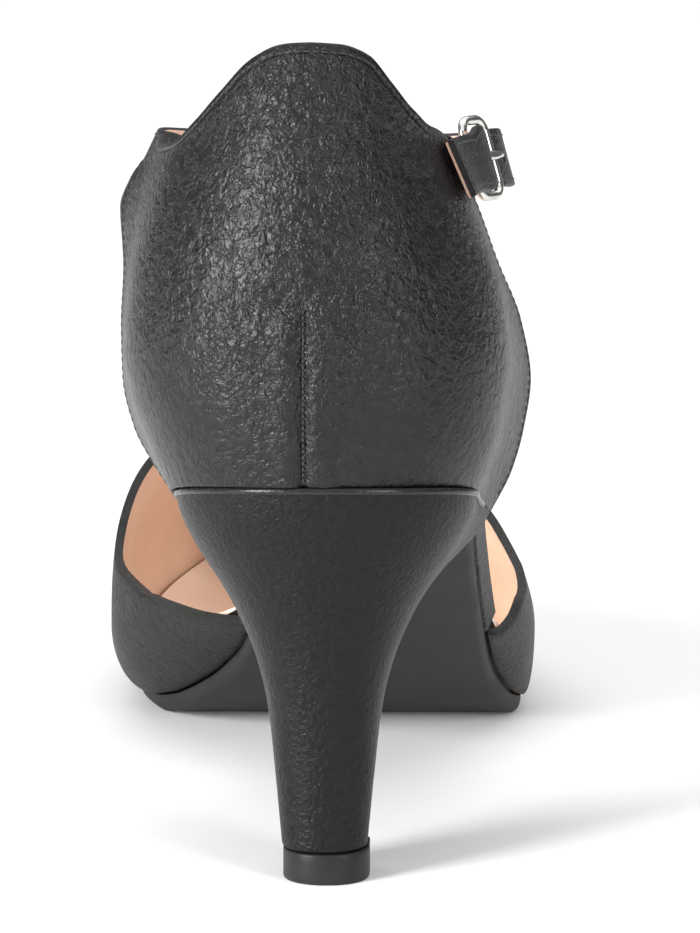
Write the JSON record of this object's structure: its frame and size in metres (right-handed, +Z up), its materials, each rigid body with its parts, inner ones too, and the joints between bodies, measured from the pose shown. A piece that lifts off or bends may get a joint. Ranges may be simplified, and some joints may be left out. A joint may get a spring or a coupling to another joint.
{
  "type": "pointed toe pump",
  "caption": "Pointed-toe pump for the right foot: closed heel counter with scalloped topline, open sides, closed vamp, instep strap with ring buckle, slim covered heel.",
  "frame": {"origin": "on the floor, under the middle of the shoe's bounding box", "axes": "+Z up from the floor, +Y from the heel to the toe, +X to the outside of the right foot"},
  "size_m": [0.0792, 0.243, 0.1476],
  "materials": {
    "leather": "pebbled black faux leather, semi-gloss",
    "heel_cover": "fine-grained black faux leather, semi-gloss",
    "sock": "matt tan-pink faux leather sock, black covered edge",
    "sole": "smooth matt dark outsole",
    "lift": "smooth dark top lift",
    "metal": "polished nickel"
  },
  "bodies": {
    "root": {"outsole": "sole", "insole": "sock", "vamp": "leather", "quarter": "leather", "heel": "heel_cover", "top_lift": "lift", "instep_strap": "leather", "chape": "leather", "buckle_ring": "metal", "buckle_prong": "metal"}
  },
  "joints": []
}
